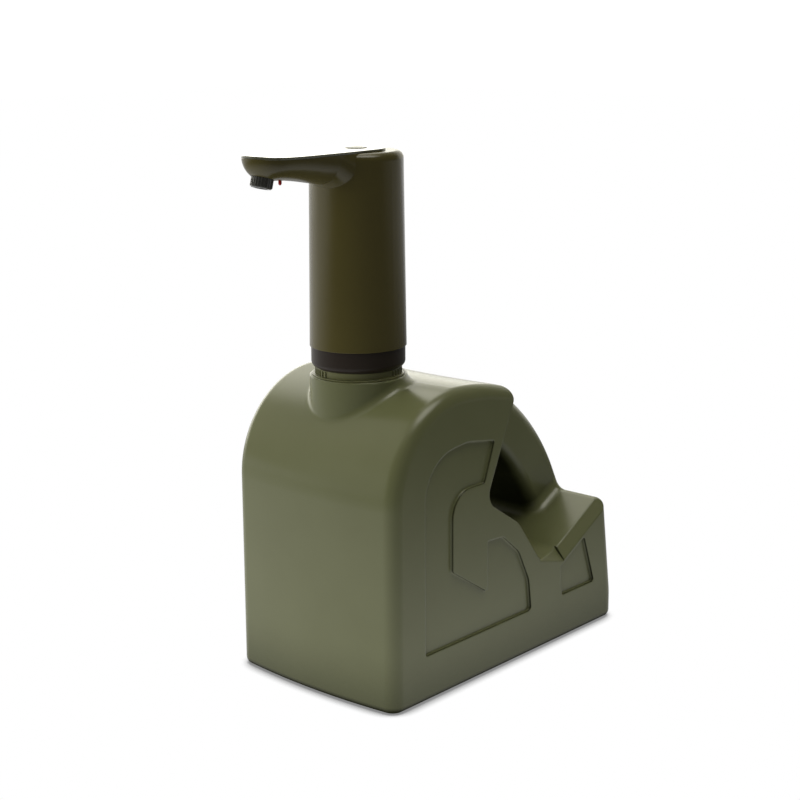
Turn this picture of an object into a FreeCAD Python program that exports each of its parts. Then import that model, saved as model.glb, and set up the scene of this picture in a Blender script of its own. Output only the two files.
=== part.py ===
"""Electric camping tap on its blow-moulded water canister.

Millimetres, +Z up. The origin is the foot of the tap's axis on the ground plane.
The spout points to -Y and the carry handle is at +Y.
"""
import FreeCAD
import Part
import math
import os
import Sketcher
from FreeCAD import Placement, Rotation, Vector

DOC = FreeCAD.newDocument("camping_tap")
SHEET = DOC.addObject("Spreadsheet::Sheet", "dims")

SIZES = [
    # canister outline
    ("tank_width", 144),
    ("tank_front", 46),
    ("tank_rear", 201.6),
    ("front_bow", 5),
    ("crown_height", 206),
    ("crown_y", 18),
    ("front_arc", 69),
    ("top_arc", 185),
    ("tank_wall", 2.4),
    ("edge_round", 9.6),
    ("base_round", 5),
    ("rear_upright", 20),
    ("rear_lean", 10.3),
    ("rear_bend", 60),
    # recess under the handle, in its side view
    ("recess_top_y", 80),
    ("recess_top_drop", 9.2),
    ("recess_top_round", 9),
    ("recess_wall_angle", 66),
    ("wall_foot_z", 123.9),
    ("wall_foot_round", 12),
    ("step_y", 83.3),
    ("step_z", 100.6),
    ("step_round", 25),
    ("floor_y", 108.6),
    ("floor_z", 66.5),
    ("floor_round", 12),
    ("ramp_y", 134.2),
    ("ramp_angle", 28.3),
    ("ramp_round", 15),
    ("ramp_bevel", 7),
    ("bevel_start", 108),
    ("rear_round", 6),
    # carry handle
    ("handle_width", 54),
    ("handle_step", 0.3),
    ("handle_lead_y", 80),
    ("handle_blend", 100),
    ("handle_arc", 172.9),
    ("handle_arc_y", 34.3),
    ("handle_arc_drop", 1.3),
    ("handle_thick", 39),
    ("handle_round", 9),
    ("handle_foot", 8),
    # panels sunk in the two sides
    ("panel_depth", 2),
    ("panel_slope", 0.8),
    ("panel_front", 15.4),
    ("panel_foot", 32.6),
    # neck and adapter
    ("neck_radius", 32.6),
    ("neck_rise", 5),
    ("neck_wall", 4),
    ("neck_foot", 6),
    ("running_gap", 0.3),
    ("flange_inset", 1.8),
    ("flange_thick", 1),
    ("collar_inset", 4.4),
    ("collar_height", 5.2),
    ("skirt_wall", 3.3),
    ("skirt_length", 15),
    ("rib_height", 0.9),
    ("rib_width", 1.6),
    ("rib_pitch", 7),
    ("rib_count", 12),
    ("seal_radius", 1),
    ("groove_depth", 1.9),
    # foot of the tap
    ("ring_inset", 0.9),
    ("ring_height", 14.4),
    ("ring_wall", 3.2),
    ("ring_lip", 1.7),
    ("ring_round", 4.2),
    ("floor_thick", 3),
    ("plug_length", 15),
    ("plug_wall", 3.2),
    ("spigot_height", 7),
    ("spigot_wall", 1.6),
    # housing and arm
    ("housing_foot", 32.3),
    ("housing_shoulder", 30.9),
    ("housing_height", 142.8),
    ("housing_wall", 2.2),
    ("shoulder_round", 5),
    ("roof_opening", 17),
    ("plate_proud", 1.5),
    ("plate_thick", 1.6),
    ("root_y", 29),
    ("root_width", 38.4),
    ("root_depth", 21.8),
    ("middle_y", 58),
    ("middle_width", 35.6),
    ("middle_depth", 17),
    ("nose_y", 80.5),
    ("nose_width", 31),
    ("nose_depth", 15.2),
    ("arm_wall", 1.8),
    ("tip_rise", 1.6),
    ("tip_start", 66),
    # nozzle
    ("nozzle_back", 4),
    ("nozzle_drop", 13.8),
    ("nozzle_tilt", 15),
    ("nozzle_radius", 6.7),
    ("nozzle_rib", 0.35),
    ("nozzle_ribs", 24),
    ("nozzle_out", 5.4),
    ("nozzle_in", 2.3),
    ("nozzle_lip", 2),
    ("screen_thick", 1),
    ("screen_radius", 5.6),
    ("elbow_radius", 5),
    ("elbow_height", 9),
    ("elbow_bore", 2.6),
    ("lens_y", 69.4),
    ("lens_drop", 18.5),
    ("lens_radius", 1.1),
    ("lens_length", 6),
    # button and board
    ("button_radius", 7.2),
    ("button_flange", 8.4),
    ("button_proud", 0.3),
    ("button_stem", 2.5),
    ("button_travel", 0.8),
    ("spring_radius", 5.6),
    ("spring_wire", 0.4),
    ("board_drop", 15.3),
    ("board_thick", 1.6),
    ("board_gap", 1.7),
    ("board_front", 12),
    ("post_radius", 2.8),
    ("post_inset", 2.5),
    ("switch_size", 6),
    ("switch_height", 3.5),
    # charging port and its flap
    ("port_width", 9),
    ("port_height", 3.2),
    ("port_depth", 7),
    ("port_sink", 2.9),
    ("flap_width", 14),
    ("flap_height", 8),
    ("flap_thick", 1),
    ("flap_sink", 0.7),
    ("flap_drop", 0.6),
    # cell, pump and motor
    ("cell_radius", 9.2),
    ("cell_length", 65),
    ("cell_x", 17),
    ("cell_lift", 19.7),
    ("cradle_floor", 2.1),
    ("cradle_wall_x", 3),
    ("cradle_wall", 2.5),
    ("shelf_thick", 1.8),
    ("shelf_gap", 2.8),
    ("pump_x", 12.5),
    ("pump_radius", 13.5),
    ("pump_wall", 1.9),
    ("pump_height", 13.5),
    ("pump_roof", 3.5),
    ("cover_thick", 3),
    ("lug_reach", 15.8),
    ("lug_angle", 38),
    ("lug_rear_angle", 110),
    ("lug_radius", 2.2),
    ("screw_radius", 1),
    ("head_radius", 1.9),
    ("head_height", 1.4),
    ("motor_radius", 12),
    ("motor_length", 31),
    ("shaft_radius", 1),
    ("rotor_radius", 10),
    ("vane_count", 6),
    # water ways
    ("tube_radius", 3.5),
    ("tube_bore", 2.35),
    ("tube_drop", 7.9),
    ("hose_radius", 5),
    ("hose_bore", 3.2),
    ("barb_radius", 3),
    ("barb_bore", 1.8),
    ("outlet_gap", 4.5),
    ("strainer_radius", 11),
    ("strainer_wall", 1.6),
    ("strainer_height", 22),
    ("strainer_gap", 4),
    ("slot_count", 12),
]


# sizes that follow from others, as sums
SUMS = {
    "neck_bore": "neck_radius - neck_wall",
    "neck_top": "crown_height + neck_rise",
    "recess_top_z": "crown_height - recess_top_drop",
    "flange_radius": "neck_radius - flange_inset",
    "collar_radius": "neck_radius - collar_inset",
    "adapter_bore": "neck_bore - running_gap - skirt_wall",
    "foot_z": "neck_top + collar_height",
    "ring_radius": "housing_foot - ring_inset",
    "housing_top": "foot_z + housing_height",
    "plate_top": "housing_top + plate_proud",
    "nozzle_y": "nose_y + nozzle_back",
    "nozzle_z": "plate_top - nozzle_drop",
    "lens_z": "plate_top - lens_drop",
    "board_z": "plate_top - board_drop",
    "board_radius": "housing_shoulder - housing_wall - board_gap",
    "post_reach": "housing_shoulder - housing_wall - post_inset",
    "port_face": "housing_shoulder - port_sink",
    "flap_pivot_y": "housing_shoulder - flap_sink",
    "flap_pivot_z": "board_z - flap_drop",
    "cell_foot": "foot_z + cell_lift",
    "shelf_radius": "housing_foot - housing_wall - shelf_gap",
    "cradle_radius": "ring_radius - ring_wall - spigot_wall - 0.6",
    "outlet_y": "pump_radius + outlet_gap",
    "tube_run_z": "plate_top - tube_drop",
    "strainer_foot": "tank_wall + strainer_gap",
    "hose_foot": "strainer_foot + strainer_height",
}


def fill_sheet():
    for row, (name, value) in enumerate(SIZES, start=1):
        SHEET.set(f"A{row}", name)
        SHEET.set(f"B{row}", str(value))
        SHEET.setAlias(f"B{row}", name)
    DOC.recompute()


def is_number(word):
    return word.replace(".", "").isdigit()


def terms(text, sign=1):
    """The sheet's sizes and the numbers in a sum, each with its sign."""
    found = []
    now = sign
    for word in text.split():
        if word in "+-":
            now = sign if word == "+" else -sign
        elif word in SUMS:
            found += terms(SUMS[word], now)
        else:
            found.append((now, word))
    return found


def size(text):
    """The value of a sum such as 'neck_top + 2', in millimetres or degrees."""
    total = 0.0
    for sign, word in terms(text):
        total += sign * (float(word) if is_number(word) else float(SHEET.get(word)))
    return total


def bound(text):
    """The same sum as an expression on the sheet."""
    words = []
    for sign, word in terms(text):
        words.append("+" if sign > 0 else "-")
        words.append(word if is_number(word) else "dims." + word)
    return " ".join(words[1:] if words[0] == "+" else words)


def origin_plane(body, role):
    return next(item for item in body.Origin.OriginFeatures if item.Role == role)


def new_body(name, x="0", y="0", z="0"):
    """A body whose place is bound to the sheet."""
    body = DOC.addObject("PartDesign::Body", name)
    body.Label = name
    body.Placement.Base = Vector(size(x), size(y), size(z))
    for axis, text in (("x", x), ("y", y), ("z", z)):
        body.setExpression(f"Placement.Base.{axis}", bound(text))
    return body


def new_sketch(body, name, role):
    sketch = body.newObject("Sketcher::SketchObject", name)
    sketch.AttachmentSupport = [(origin_plane(body, role), "")]
    sketch.MapMode = "FlatFace"
    return sketch


def draw_outline(sketch, corners):
    """A closed outline of lines, each corner held by two bound distances."""
    first = sketch.GeometryCount
    points = [Vector(size(a), size(b), 0) for a, b in corners]
    count = len(points)
    for i in range(count):
        sketch.addGeometry(Part.LineSegment(points[i], points[(i + 1) % count]), False)
    for i in range(count):
        after = first + (i + 1) % count
        sketch.addConstraint(Sketcher.Constraint("Coincident", first + i, 2, after, 1))
    for i, corner in enumerate(corners):
        for kind, axis, text in zip(("DistanceX", "DistanceY"), (-2, -1), corner):
            value = size(text)
            if abs(value) < 1e-9:
                rule = Sketcher.Constraint("PointOnObject", first + i, 1, axis)
                sketch.addConstraint(rule)
                continue
            rule = Sketcher.Constraint(kind, -1, 1, first + i, 1, value)
            index = sketch.addConstraint(rule)
            sketch.setExpression(f"Constraints[{index}]", bound(text))


def draw_circle(sketch, x, y, radius):
    """A circle with its centre and radius bound to the sheet."""
    centre = Vector(size(x), size(y), 0)
    item = sketch.addGeometry(Part.Circle(centre, Vector(0, 0, 1), size(radius)), False)
    for kind, axis, text in (("DistanceX", -2, x), ("DistanceY", -1, y)):
        if abs(size(text)) < 1e-9:
            sketch.addConstraint(Sketcher.Constraint("PointOnObject", item, 3, axis))
            continue
        rule = Sketcher.Constraint(kind, -1, 1, item, 3, size(text))
        index = sketch.addConstraint(rule)
        sketch.setExpression(f"Constraints[{index}]", bound(text))
    index = sketch.addConstraint(Sketcher.Constraint("Radius", item, size(radius)))
    sketch.setExpression(f"Constraints[{index}]", bound(radius))


def turn(body, corners):
    """Turns an outline of radius and height about the body's own axis."""
    sketch = new_sketch(body, body.Name + "_profile", "XZ_Plane")
    draw_outline(sketch, corners)
    feature = body.newObject("PartDesign::Revolution", body.Name + "_turned")
    feature.Profile = sketch
    feature.ReferenceAxis = (sketch, ["V_Axis"])
    feature.Angle = 360
    DOC.recompute()
    return feature


def raise_pad(body, name, draw, foot, height):
    """Pads what draw puts in a sketch at the height foot."""
    sketch = new_sketch(body, name + "_sketch", "XY_Plane")
    sketch.AttachmentOffset = Placement(Vector(0, 0, size(foot)), Rotation())
    sketch.setExpression("AttachmentOffset.Base.z", bound(foot))
    draw(sketch)
    feature = body.newObject("PartDesign::Pad", name)
    feature.Profile = sketch
    feature.setExpression("Length", bound(height))
    DOC.recompute()
    return feature


def cut_pocket(body, name, draw, top, depth):
    """Cuts what draw puts in a sketch at the height top, downwards."""
    sketch = new_sketch(body, name + "_sketch", "XY_Plane")
    sketch.AttachmentOffset = Placement(Vector(0, 0, size(top)), Rotation())
    sketch.setExpression("AttachmentOffset.Base.z", bound(top))
    draw(sketch)
    feature = body.newObject("PartDesign::Pocket", name)
    feature.Profile = sketch
    feature.setExpression("Length", bound(depth))
    DOC.recompute()
    return feature


def repeat_round(body, name, feature, count, angle):
    """Repeats a feature round the body's own axis."""
    pattern = body.newObject("PartDesign::PolarPattern", name)
    pattern.Originals = [feature]
    pattern.Axis = (origin_axis(body), [""])
    pattern.Angle = angle
    pattern.Occurrences = count
    body.Tip = pattern
    DOC.recompute()
    return pattern


def origin_axis(body):
    return next(item for item in body.Origin.OriginFeatures if item.Role == "Z_Axis")


def soften(body, name, radius, wanted):
    """Rounds the body's edges that the test wanted picks."""
    base = body.Tip
    edges = [f"Edge{i + 1}" for i, e in enumerate(base.Shape.Edges) if wanted(e)]
    feature = body.newObject("PartDesign::Fillet", name)
    feature.Base = (base, edges)
    feature.Radius = size(radius)
    feature.setExpression("Radius", bound(radius))
    DOC.recompute()
    return feature


def circle_at(radius, height):
    """A test for full round edges of one radius at one height."""
    def wanted(edge):
        curve = edge.Curve
        if not isinstance(curve, Part.Circle):
            return False
        same_radius = abs(curve.Radius - size(radius)) < 0.01
        return same_radius and abs(curve.Center.z - size(height)) < 0.01
    return wanted


def feature_of(name, shape, place=None):
    """A plain shape as a document object of its own."""
    item = DOC.addObject("Part::Feature", name)
    item.Label = name
    item.Shape = shape
    if place is not None:
        item.Placement = place
    return item


def rounded_outline(corners):
    """A closed wire in the YZ plane from corners of y, z and rounding radius."""
    count = len(corners)
    starts = []
    ends = []
    middles = []
    for i, (y, z, radius) in enumerate(corners):
        here = Vector(0, y, z)
        back = (Vector(0, *corners[i - 1][:2]) - here).normalize()
        ahead = (Vector(0, *corners[(i + 1) % count][:2]) - here).normalize()
        if radius == 0:
            starts.append(here)
            ends.append(here)
            middles.append(None)
            continue
        half = back.getAngle(ahead) / 2
        reach = radius / math.tan(half)
        centre = here + (back + ahead).normalize() * (radius / math.sin(half))
        starts.append(here + back * reach)
        ends.append(here + ahead * reach)
        middles.append(centre + (here - centre).normalize() * radius)
    edges = []
    for i in range(count):
        if middles[i] is not None:
            edges.append(Part.Arc(starts[i], middles[i], ends[i]).toShape())
        edges.append(Part.LineSegment(ends[i], starts[(i + 1) % count]).toShape())
    return Part.Wire(edges)


def along_x(wire, low, high):
    """A solid from a wire in the YZ plane, between two places on X."""
    face = Part.Face(wire)
    face.translate(Vector(low, 0, 0))
    return face.extrude(Vector(high - low, 0, 0))


def mirrored(shape):
    """The same shape on the other side of the middle plane."""
    return shape.mirror(Vector(0, 0, 0), Vector(1, 0, 0))


def cylinder(radius, foot, height, x=0, y=0):
    return Part.makeCylinder(radius, height, Vector(x, y, foot))


def box(x, y, z):
    """A box from its low and high place on each axis."""
    corner = Vector(x[0], y[0], z[0])
    return Part.makeBox(x[1] - x[0], y[1] - y[0], z[1] - z[0], corner)


# canister

def tank_hull(inset):
    """Front, top, sides and rear wall, without the recess."""
    half = size("tank_width") / 2
    bow = size("front_bow")
    bow_radius = (half ** 2 + bow ** 2) / (2 * bow)
    front = -size("tank_front") - bow
    front_arc = size("front_arc") - inset
    top_arc = size("top_arc") - inset
    middle = Vector(0, size("crown_y"), 0)
    arc_z = size("crown_height") - size("front_arc")
    top_z = size("crown_height") - size("top_arc")
    crown = Vector(0, middle.y, size("crown_height") - inset)
    slope = 1 / math.sqrt(2)
    side_mid = Vector(0, middle.y - front_arc * slope, arc_z + front_arc * slope)
    low_mid = math.radians(15)
    top_mid = Vector(0, middle.y + top_arc * math.sin(low_mid),
                     top_z + top_arc * math.cos(low_mid))
    low_end = math.radians(30)
    top_end = Vector(0, middle.y + top_arc * math.sin(low_end),
                     top_z + top_arc * math.cos(low_end))
    beyond = size("tank_rear + 30")
    foot = Vector(0, front + inset, inset)
    spring = Vector(0, front + inset, arc_z)
    edges = [
        Part.LineSegment(foot, spring).toShape(),
        Part.Arc(spring, side_mid, crown).toShape(),
        Part.Arc(crown, top_mid, top_end).toShape(),
        Part.LineSegment(top_end, Vector(0, beyond, top_end.z)).toShape(),
        Part.LineSegment(Vector(0, beyond, top_end.z), Vector(0, beyond, inset)).toShape(),
        Part.LineSegment(Vector(0, beyond, inset), foot).toShape(),
    ]
    face = Part.Face(Part.Wire(edges))
    axis_foot = Vector(0, front + bow_radius, 0)
    sweep = 22
    face.rotate(axis_foot, Vector(0, 0, 1), -sweep)
    bowed = face.revolve(axis_foot, Vector(0, 0, 1), 2 * sweep)
    high = size("crown_height + 20")
    upright = size("rear_upright")
    side_view = rounded_outline([
        (front - 20, inset, 0),
        (rear_wall(upright, inset), inset, 0),
        (rear_wall(upright, inset), upright, size("rear_bend")),
        (rear_wall(high, inset), high, 0),
        (front - 20, high, 0),
    ])
    hull = bowed.common(along_x(side_view, inset - half, half - inset))
    hull = hull.makeFillet(size("edge_round") - inset, side_edges(hull, half - inset))
    return hull.makeFillet(size("base_round") - inset / 2, foot_edges(hull, inset))


def side_edges(shape, half):
    """Edges of the two side faces, without those on the floor."""
    picked = []
    for edge in shape.Edges:
        limits = edge.BoundBox
        on_side = abs(abs(limits.XMin) - half) < 0.01 and limits.XLength < 0.01
        if on_side and limits.ZLength > 1:
            picked.append(edge)
    return picked


def foot_edges(shape, height):
    picked = []
    for edge in shape.Edges:
        limits = edge.BoundBox
        if limits.ZLength < 0.01 and abs(limits.ZMin - height) < 0.01:
            picked.append(edge)
    return picked


def recess_outline(grow):
    """Side view of the space under and beside the handle."""
    wall = math.radians(size("recess_wall_angle"))
    top_y = size("recess_top_y")
    top_z = size("recess_top_z")
    foot_z = size("wall_foot_z")
    foot_y = top_y - (top_z - foot_z) / math.tan(wall)
    ramp = math.tan(math.radians(size("ramp_angle")))
    far = size("tank_rear + 60")
    high = size("crown_height + 60")
    lead_y = size("neck_radius + 8")
    wire = rounded_outline([
        (top_y, top_z, size("recess_top_round")),
        (foot_y, foot_z, size("wall_foot_round")),
        (size("step_y"), size("step_z"), size("step_round")),
        (size("floor_y"), size("floor_z"), size("floor_round")),
        (size("ramp_y"), size("floor_z"), size("ramp_round")),
        (far, size("floor_z") + ramp * (far - size("ramp_y")), 0),
        (far, high, 0),
        (lead_y, high, 0),
        (lead_y, top_z + 0.28 * (top_y - lead_y), 0),
    ])
    return wire.makeOffset2D(grow) if grow else wire


def on_circle(centre, radius, angle):
    """A point of a circle in the YZ plane, its angle taken from the top."""
    turned = math.radians(angle)
    return centre + Vector(0, radius * math.sin(turned), radius * math.cos(turned))


def arc_over(centre, radius, start, end):
    points = [on_circle(centre, radius, a) for a in (start, (start + end) / 2, end)]
    return Part.Arc(*points).toShape()


def handle_outline(inset):
    """Side view of the handle: flush with the top, straight, then bent down."""
    high = size("top_arc") - size("handle_step")
    top = Vector(0, size("crown_y"), size("crown_height") - size("top_arc"))
    lead = math.degrees(math.asin((size("handle_lead_y") - top.y) / high))
    bend = size("handle_arc")
    drop = size("handle_arc_drop") + bend
    low = Vector(0, size("handle_arc_y"), size("crown_height") - drop)
    blend = size("handle_blend")
    across = on_circle(Vector(), 1, lead)
    along = on_circle(Vector(), 1, lead + 90)
    start = on_circle(top, high - blend, lead)
    apart = low - start
    ahead = apart.dot(along)
    ahead += math.sqrt((bend - blend) ** 2 - apart.dot(across) ** 2)
    corner = start + along * ahead
    join = corner - low
    turned = math.degrees(math.atan2(join.y, join.z))
    inner = bend - size("handle_thick") + inset
    first = on_circle(top, high - inset, 3)
    last = on_circle(low, bend - inset, 80)
    under = [on_circle(low, inner, a) for a in (80, 40, 0)]
    return Part.Wire([
        arc_over(top, high - inset, 3, lead),
        Part.LineSegment(on_circle(top, high - inset, lead),
                         on_circle(corner, blend - inset, lead)).toShape(),
        arc_over(corner, blend - inset, lead, turned),
        arc_over(low, bend - inset, turned, 80),
        Part.LineSegment(last, under[0]).toShape(),
        Part.Arc(*under).toShape(),
        Part.LineSegment(under[2], first).toShape(),
    ])


def handle_bar(inset):
    """The handle with its long edges rounded, flush with the rear wall."""
    half = size("handle_width") / 2 - inset
    bar = along_x(handle_outline(inset), -half, half)
    long_edges = []
    for edge in bar.Edges:
        limits = edge.BoundBox
        on_side = limits.XLength < 0.01 and isinstance(edge.Curve, Part.Circle)
        straight = limits.XLength < 0.01 and limits.ZMin > size("crown_height") - 45
        if on_side or (straight and limits.YMin > size("handle_lead_y") - 1):
            long_edges.append(edge)
    bar = bar.makeFillet(size("handle_round") - inset / 2, long_edges)
    low = size("floor_z") - 8
    high = size("crown_height + 40")
    side_view = rounded_outline([
        (0, low, 0),
        (rear_wall(low, inset), low, 0),
        (rear_wall(high, inset), high, 0),
        (0, high, 0),
    ])
    return bar.common(along_x(side_view, -half - 1, half + 1))


def rear_wall(z, inset):
    """Place of the leaning rear wall at one height."""
    lean = size("rear_lean") / 75
    return size("tank_rear") - inset - lean * (z - size("rear_upright"))


def on_ramp(edge, inset):
    """True for an edge that lies in the ramp."""
    turned = math.radians(size("ramp_angle"))
    for vertex in edge.Vertexes:
        ahead = vertex.Point.y - size("ramp_y")
        level = size("floor_z") + ahead * math.tan(turned) - inset / math.cos(turned)
        if abs(vertex.Point.z - level) > 0.02:
            return False
    return True


def around_handle(shape):
    """Edges where the handle stands on the ramp."""
    picked = []
    for edge in shape.Edges:
        limits = edge.BoundBox
        near = max(-limits.XMin, limits.XMax) < size("handle_width") / 2 + 0.1
        if near and limits.YMin > size("ramp_y") and on_ramp(edge, 0):
            picked.append(edge)
    return picked


def behind_ramp(shape, inset):
    """Edges between the ramp and the rear wall."""
    picked = []
    for edge in shape.Edges:
        limits = edge.BoundBox
        level = limits.YLength < 0.01 and limits.XLength > 10
        if level and limits.YMin > size("tank_rear") - 25 and on_ramp(edge, inset):
            picked.append(edge)
    return picked


def bevel_ring(y, depth, inset):
    """Three corners of the bevel's tool across the tank, at one place on Y."""
    half = size("tank_width") / 2
    level = size("floor_z")
    reach = depth + inset * math.sqrt(2)
    spare = 4
    corners = [
        Vector(half - reach - spare, y, level + spare),
        Vector(half + spare, y, level + spare),
        Vector(half + spare, y, level - reach - spare),
    ]
    return Part.makePolygon(corners + corners[:1])


def bevel_tool(side, inset):
    """The long bevel between the ramp and one side face, with its soft start."""
    depth = size("ramp_bevel")
    ramp_y = size("ramp_y")
    level = Vector(0, ramp_y, size("floor_z"))
    face = Part.Face(bevel_ring(ramp_y, depth, inset))
    wedge = face.extrude(Vector(0, size("tank_rear") - ramp_y, 0))
    wedge.rotate(level, Vector(1, 0, 0), size("ramp_angle"))
    start = bevel_ring(size("bevel_start"), 0, inset)
    lead = Part.makeLoft([start, bevel_ring(ramp_y + 3, depth * 1.1, inset)], True, True)
    tool = wedge.fuse(lead)
    return tool if side > 0 else mirrored(tool)


def main_panel():
    """The large sunk panel, with the hook that comes in from the recess."""
    front = -size("panel_front")
    foot = size("panel_foot")
    return [
        (front, foot, 2),
        (99, foot, 3),
        (96, 56, 20),
        (84, 80, 18),
        (66, 95, 8),
        (49.5, 96, 1.5),
        (49.5, 60, 1.5),
        (12.6, 83.5, 3),
        (12.6, 137.5, 18),
        (45.6, 137.5, 1.5),
        (56, 165.2, 1.5),
        (28, 170, 30),
        (front, 165, 32),
    ]


def rear_panel():
    """The small sunk panel under the ramp."""
    foot = size("panel_foot")
    return [
        (135, foot + 1, 2),
        (175, foot + 1, 2),
        (162, 71, 2),
        (133, 55.5, 2),
    ]


def side_panels(wall):
    """What the panels take out of both sides, grown by a wall for the space inside."""
    half = size("tank_width") / 2
    floor_x = half - size("panel_depth") - wall
    tools = []
    for corners in (main_panel(), rear_panel()):
        outline = rounded_outline(corners)
        if wall:
            outline = outline.makeOffset2D(wall)
        tool = along_x(outline, floor_x, half + 1)
        rim = [e for e in tool.Edges if abs(e.BoundBox.XMax - floor_x) < 1e-3]
        tool = tool.makeChamfer(size("panel_slope"), rim)
        tools += [tool, mirrored(tool)]
    return tools


def neck_boss():
    """The round boss that carries the neck, reaching down into the hull."""
    foot = size("crown_height") - size("front_arc")
    rim_z = size("neck_top")
    boss = cylinder(size("neck_radius"), foot, rim_z - foot)
    rim = [e for e in boss.Edges if abs(e.BoundBox.ZMin - rim_z) < 1e-3]
    return boss.makeFillet(1, rim)


def around_neck(shape):
    """Edges between the boss and the hull's top."""
    foot = size("crown_height") - size("front_arc")
    picked = []
    for edge in shape.Edges:
        limits = edge.BoundBox
        near = max(-limits.XMin, limits.XMax) < size("neck_radius") + 0.1
        below = limits.ZMax < size("crown_height") + 0.1
        if near and below and limits.ZMin > foot and edge.Length > 1:
            picked.append(edge)
    return picked


def tank_body(inset):
    """The hull with its recess, both bevels and the handle."""
    body = tank_hull(inset)
    if not inset:
        body = body.fuse(neck_boss()).removeSplitter()
        body = body.makeFillet(size("neck_foot"), around_neck(body))
    reach = size("tank_width")
    body = body.cut(along_x(recess_outline(inset), -reach, reach))
    for side in (-1, 1):
        body = body.cut(bevel_tool(side, inset))
    if inset:
        body = body.makeFillet(size("rear_round") - inset, behind_ramp(body, inset))
        return body.fuse(handle_bar(inset)).removeSplitter()
    body = body.fuse(handle_bar(0)).removeSplitter()
    body = body.makeFillet(size("handle_foot"), around_handle(body))
    return body.makeFillet(size("rear_round"), behind_ramp(body, 0))


def make_canister():
    wall = size("tank_wall")
    shell = tank_body(0).cut(side_panels(0))
    boss_foot = size("crown_height") - size("front_arc")
    bore = cylinder(size("neck_bore"), boss_foot, size("neck_top + 5") - boss_foot)
    inside = tank_body(wall).cut(side_panels(wall))
    shell = shell.cut(inside.fuse(bore))
    return feature_of("canister", shell.removeSplitter())


# adapter between the neck and the tap

def make_adapter():
    body = new_body("neck_adapter", z="neck_top")
    skirt = "neck_bore - running_gap"
    floor = "neck_bore - groove_depth - running_gap"
    turn(body, [
        ("adapter_bore", "- skirt_length"),
        (skirt, "- skirt_length"),
        (skirt, "- skirt_length + 5.6"),
        (floor, "- skirt_length + 5.6"),
        (floor, "- skirt_length + 8"),
        (skirt, "- skirt_length + 8"),
        (skirt, "0"),
        ("flange_radius", "0"),
        ("flange_radius", "flange_thick"),
        ("collar_radius", "flange_thick"),
        ("collar_radius", "foot_z - neck_top"),
        ("adapter_bore", "foot_z - neck_top"),
    ])

    def two_ribs(sketch):
        half = size("rib_width") / 2
        for side in (-1, 1):
            draw_outline(sketch, rib_outline(side, half))

    rib = raise_pad(body, "grip_rib", two_ribs, "flange_thick",
                    "foot_z - neck_top - flange_thick - 0.6")
    spread = size("rib_pitch") * (size("rib_count") - 1)
    repeat_round(body, "grip_ribs", rib, int(size("rib_count")), spread)
    body.Placement.Rotation = Rotation(Vector(0, 0, 1), 45 - spread / 2)
    make_ring_seal("neck_o_ring", floor, "neck_top - skirt_length + 6.8")


def rib_outline(side, half):
    """A low rib on the right or the left of the collar."""
    near = "collar_radius - 0.6" if side > 0 else "- collar_radius + 0.6"
    far = "collar_radius + rib_height" if side > 0 else "- collar_radius - rib_height"
    return [
        (near, f"- {half}"),
        (far, f"- {half / 2}"),
        (far, f"{half / 2}"),
        (near, f"{half}"),
    ]


def make_ring_seal(name, floor, height):
    """A round seal lying on a groove floor."""
    section = size("seal_radius")
    ring = Part.makeTorus(size(floor) + section, section, Vector(0, 0, size(height)))
    return feature_of(name, ring)


# foot of the tap

def make_base_ring():
    body = new_body("base_ring", z="foot_z")
    turn(body, [
        ("ring_radius - ring_wall - 1.4", "0"),
        ("ring_radius", "0"),
        ("ring_radius", "ring_height"),
        ("ring_radius - ring_wall", "ring_height"),
        ("ring_radius - ring_wall", "ring_lip"),
        ("ring_radius - ring_wall - 1.4", "ring_lip"),
    ])
    soften(body, "ring_foot", "ring_round", circle_at("ring_radius", "0"))
    soften(body, "ring_brow", "0.5", circle_at("ring_radius", "ring_height"))


def make_chassis():
    body = new_body("tap_chassis", z="foot_z")
    plug = "adapter_bore - running_gap"
    floor = "adapter_bore - running_gap - groove_depth"
    low = "ring_lip - plug_length"
    drum = "ring_radius - ring_wall"
    spigot = "housing_foot - housing_wall - 0.4"
    turn(body, [
        ("0", "ring_lip"),
        ("adapter_bore - running_gap - plug_wall", "ring_lip"),
        ("adapter_bore - running_gap - plug_wall", low),
        (plug, low),
        (plug, low + " + 3.4"),
        (floor, low + " + 3.4"),
        (floor, low + " + 5.8"),
        (plug, low + " + 5.8"),
        (plug, "ring_lip"),
        (drum, "ring_lip"),
        (drum, "ring_height"),
        (spigot, "ring_height"),
        (spigot, "ring_height + spigot_height"),
        (spigot + " - spigot_wall", "ring_height + spigot_height"),
        (drum + " - spigot_wall", "ring_lip + floor_thick + 2"),
        (drum + " - spigot_wall", "ring_lip + floor_thick"),
        ("0", "ring_lip + floor_thick"),
    ])

    def way_down(sketch):
        draw_circle(sketch, "- pump_x", "0", "barb_radius + 0.2")
        for x, y in CRADLE_SCREWS:
            draw_circle(sketch, x, y, "screw_radius")

    cut_pocket(body, "floor_holes", way_down, "ring_lip + floor_thick", "floor_thick")
    make_ring_seal("plug_o_ring", floor, "foot_z + ring_lip - plug_length + 4.6")


CRADLE_SCREWS = [("8", "20"), ("8", "- 20"), ("22", "0")]


def screw(x, y, seat, length):
    """A cross-slotted pan-head screw standing head up on its seat."""
    head = Part.makeCylinder(size("head_radius"), size("head_height"), Vector(x, y, seat))
    rim = [e for e in head.Edges if abs(e.BoundBox.ZMin - seat - size("head_height")) < 1e-3]
    head = head.makeFillet(0.5, rim)
    shank = Part.makeCylinder(size("screw_radius"), length, Vector(x, y, seat - length))
    slot = size("head_height") / 2
    top = seat + size("head_height")
    for wide, deep in ((1.2, 0.2), (0.2, 1.2)):
        cut = box((x - wide, x + wide), (y - deep, y + deep), (top - slot, top + 1))
        head = head.cut(cut)
    return head.fuse(shank)


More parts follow.
